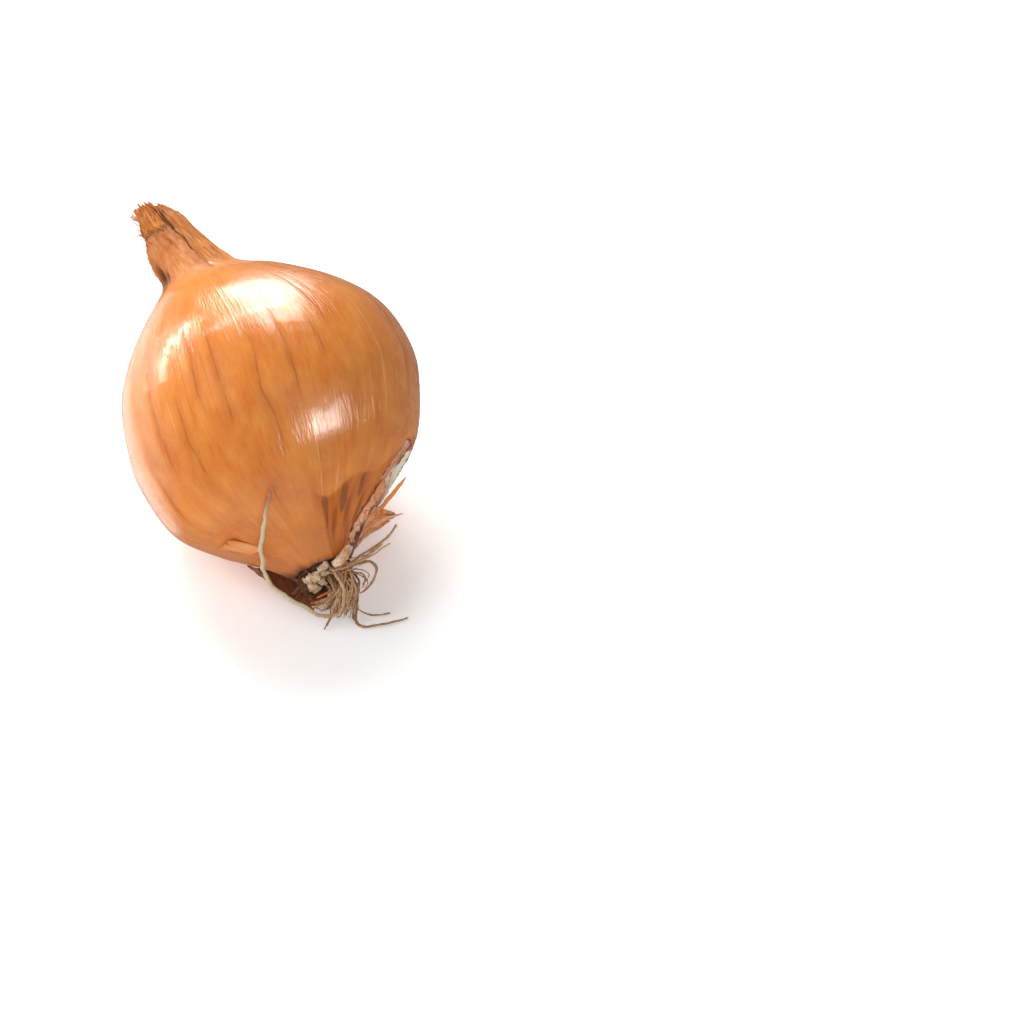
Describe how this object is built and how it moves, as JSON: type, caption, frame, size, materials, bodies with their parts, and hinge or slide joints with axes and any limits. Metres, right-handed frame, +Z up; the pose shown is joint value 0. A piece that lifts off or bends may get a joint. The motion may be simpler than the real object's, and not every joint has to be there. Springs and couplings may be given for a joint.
{
  "type": "brown onion",
  "caption": "Whole brown onion lying on its side: a copper-skinned bulb with a dry papery neck, torn skin flaps, a corky root plate and a tuft of dried roots.",
  "frame": {"origin": "the middle of the small flat spot on the bulb's side that the onion rests on", "axes": "+Z up from the table; the root end points towards -Y and a little to +X; the neck points up, towards +Y and to -X"},
  "size_m": [0.0731, 0.0843, 0.0733],
  "materials": {
    "bulb_skin": "thin dry copper-orange skin, satin to glossy, with meridian veins and brown streaks",
    "neck_sheath": "dry leaf bases, fibrous and matt",
    "torn_skin": "torn dry skin, crinkled, matt to satin",
    "old_skin": "old dark brown skin, matt",
    "root_plate": "corky, rough",
    "root_stub": "cream, fibrous, matt",
    "dry_root": "dried root, grey-brown, matt"
  },
  "bodies": {
    "root": {"bulb": "bulb_skin", "neck_sheath_front": "neck_sheath", "neck_sheath_rear": "neck_sheath", "neck_leaf_left": "neck_sheath", "skin_flap_pointed": "torn_skin", "skin_flap_side": "torn_skin", "skin_flap_front": "torn_skin", "skin_flap_tear": "torn_skin", "skin_flap_back": "torn_skin", "root_collar": "old_skin", "root_plate": "root_plate", "root_stub_1": "root_stub", "root_stub_2": "root_stub", "root_stub_3": "root_stub", "root_stub_4": "root_stub", "root_stub_5": "root_stub", "root_stub_6": "root_stub", "root_stout": "root_stub", "root_sprig_1": "dry_root", "root_sprig_2": "dry_root", "root_loop_1": "dry_root", "root_loop_2": "dry_root", "root_table_1": "dry_root", "root_table_2": "dry_root", "root_hanging_1": "dry_root", "root_hanging_2": "dry_root", "root_hanging_3": "dry_root", "root_hanging_4": "dry_root", "root_swept_1": "dry_root", "root_swept_2": "dry_root", "root_trailing": "dry_root", "root_strand": "dry_root"}
  },
  "joints": []
}
